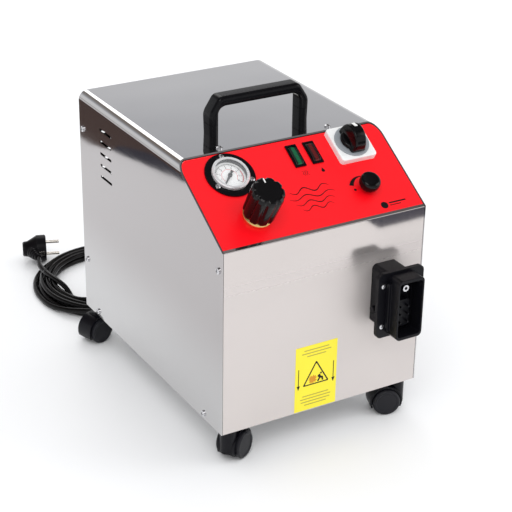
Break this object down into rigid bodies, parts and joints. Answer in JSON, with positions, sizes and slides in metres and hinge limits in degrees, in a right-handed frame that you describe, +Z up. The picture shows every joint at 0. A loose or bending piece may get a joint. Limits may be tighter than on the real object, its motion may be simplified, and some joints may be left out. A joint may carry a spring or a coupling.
{
  "type": "steam cleaner",
  "caption": "Commercial steam cleaner: steel housing on swivel casters, sloping control panel, steam socket, boiler, tank and coiled mains lead.",
  "frame": {"origin": "on the floor, at the centre of the machine's footprint without its mains lead", "axes": "+X is the machine's right seen from the front, +Y its rear, +Z up"},
  "size_m": [0.3101, 0.6781, 0.392],
  "materials": {
    "steel": "polished stainless sheet",
    "steel_front": "polished stainless sheet",
    "red_film": "satin printed film",
    "yellow_film": "printed film",
    "zinc": "zinc plated",
    "black_plastic": "fine moulded grain",
    "black_gloss": "glossy moulding",
    "grey_plastic": "moulded",
    "white_plastic": "moulded",
    "silver_rim": "turned",
    "dial_face": "printed face",
    "needle_black": "painted black",
    "clear": "clear pane",
    "brass": "turned",
    "green_lens": "translucent lens",
    "red_lens": "translucent lens",
    "boiler_steel": "welded shell",
    "tank_plastic": "translucent moulding",
    "hose": "braided hose",
    "board": "circuit board",
    "stem_steel": "zinc plated, bluish",
    "caster_black": "moulded",
    "wheel_grey": "moulded tread",
    "cable": "sheathed cable",
    "lever_red": "dipped grip",
    "gasket": "moulded ring",
    "pin_brass": "nickel plated"
  },
  "bodies": {
    "machine": {"base_tray": "steel", "hood": "steel", "front_panel": "steel_front", "rear_panel": "steel", "control_overlay": "red_film", "warning_label": "yellow_film", "housing_screws": "zinc", "carry_handle": "black_plastic", "socket_housing": "black_plastic", "socket_shroud": "black_plastic", "socket_contacts": "grey_plastic", "steam_nozzle": "zinc", "flange_screws": "zinc", "gauge_case": "black_plastic", "gauge_bezel": "silver_rim", "gauge_dial": "dial_face", "gauge_lens": "clear", "valve_body": "brass", "valve_collar": "brass", "lamp_bezels": "black_plastic", "green_lens": "green_lens", "red_lens": "red_lens", "selector_plate": "white_plastic", "selector_switch": "grey_plastic", "potentiometer": "brass", "boiler": "boiler_steel", "heating_element": "boiler_steel", "safety_valve": "brass", "steam_solenoid": "brass", "steam_pipes": "brass", "water_tank": "tank_plastic", "water_pump": "black_plastic", "water_hoses": "hose", "control_board": "board", "filler_neck": "grey_plastic", "drain_valve": "brass", "caster_stems": "stem_steel", "cord_gland": "black_plastic", "cord_lead": "cable", "cord_coil": "cable", "cord_tail": "cable", "plug_body": "black_plastic", "plug_pins": "pin_brass"},
    "gauge_pointer": {"gauge_needle": "needle_black"},
    "steam_control": {"steam_knob": "black_gloss", "valve_spindle": "zinc"},
    "selector": {"selector_knob": "black_gloss"},
    "flow_control": {"flow_knob": "black_gloss", "pot_shaft": "brass"},
    "cap_seal": {"cap_gasket": "gasket"},
    "cap": {"filler_cap": "black_plastic"},
    "drain_handle": {"drain_lever": "lever_red"},
    "swivel_fl": {"caster_hood_fl": "caster_black"},
    "wheels_fl": {"caster_wheels_fl": "wheel_grey"},
    "swivel_fr": {"caster_hood_fr": "caster_black"},
    "wheels_fr": {"caster_wheels_fr": "wheel_grey"},
    "swivel_bl": {"caster_hood_bl": "caster_black"},
    "wheels_bl": {"caster_wheels_bl": "wheel_grey"},
    "swivel_br": {"caster_hood_br": "caster_black"},
    "wheels_br": {"caster_wheels_br": "wheel_grey"}
  },
  "joints": [
    {"name": "pointer_turn", "type": "hinge", "parent": "machine", "child": "gauge_pointer", "pos_m": [-0.0805, -0.10013, 0.32652], "axis": [0, 0.5279, -0.8493], "range_deg": [0, 270], "stiffness_Nm_per_rad": 0.0005},
    {"name": "steam_turn", "type": "hinge", "parent": "machine", "child": "steam_control", "pos_m": [-0.0747, -0.15084, 0.29501], "axis": [0, -0.5279, 0.8493], "range_deg": [0, 720]},
    {"name": "selector_turn", "type": "hinge", "parent": "machine", "child": "selector", "pos_m": [0.083, -0.09478, 0.32985], "axis": [0, -0.5279, 0.8493], "range_deg": [-60, 60]},
    {"name": "flow_turn", "type": "hinge", "parent": "machine", "child": "flow_control", "pos_m": [0.075, -0.14616, 0.29791], "axis": [0, 0.5279, -0.8493], "range_deg": [0, 270]},
    {"name": "cap_lift", "type": "slide", "parent": "machine", "child": "cap_seal", "axis": [0, 0.8192, 0.5736], "range_m": [0, 0.008]},
    {"name": "cap_turn", "type": "hinge", "parent": "cap_seal", "child": "cap", "pos_m": [0.083, 0.21316, 0.31021], "axis": [0, 0.8192, 0.5736], "range_deg": [0, 720]},
    {"name": "drain_turn", "type": "hinge", "parent": "machine", "child": "drain_handle", "pos_m": [-0.043, 0.19559, 0.071], "axis": [0, 0, 1], "range_deg": [0, 90]},
    {"name": "swivel_turn_fl", "type": "hinge", "parent": "machine", "child": "swivel_fl", "pos_m": [-0.118, -0.16741, 0.04], "axis": [0, 0, 1], "continuous": true},
    {"name": "wheel_roll_fl", "type": "hinge", "parent": "swivel_fl", "child": "wheels_fl", "pos_m": [-0.10588, -0.16041, 0.017], "axis": [0.5, -0.866, 0], "continuous": true},
    {"name": "swivel_turn_fr", "type": "hinge", "parent": "machine", "child": "swivel_fr", "pos_m": [0.118, -0.16741, 0.04], "axis": [0, 0, 1], "continuous": true},
    {"name": "wheel_roll_fr", "type": "hinge", "parent": "swivel_fr", "child": "wheels_fr", "pos_m": [0.10484, -0.16262, 0.017], "axis": [0.342, 0.9397, 0], "continuous": true},
    {"name": "swivel_turn_bl", "type": "hinge", "parent": "machine", "child": "swivel_bl", "pos_m": [-0.118, 0.17459, 0.04], "axis": [0, 0, 1], "continuous": true},
    {"name": "wheel_roll_bl", "type": "hinge", "parent": "swivel_bl", "child": "wheels_bl", "pos_m": [-0.13146, 0.17073, 0.017], "axis": [-0.2756, 0.9613, 0], "continuous": true},
    {"name": "swivel_turn_br", "type": "hinge", "parent": "machine", "child": "swivel_br", "pos_m": [0.118, 0.17459, 0.04], "axis": [0, 0, 1], "continuous": true},
    {"name": "wheel_roll_br", "type": "hinge", "parent": "swivel_br", "child": "wheels_br", "pos_m": [0.13146, 0.17073, 0.017], "axis": [-0.2756, -0.9613, 0], "continuous": true}
  ],
  "couplings": [
    {"joint": "cap_lift", "follows": "cap_turn", "m_per_rad": 0.000636}
  ]
}
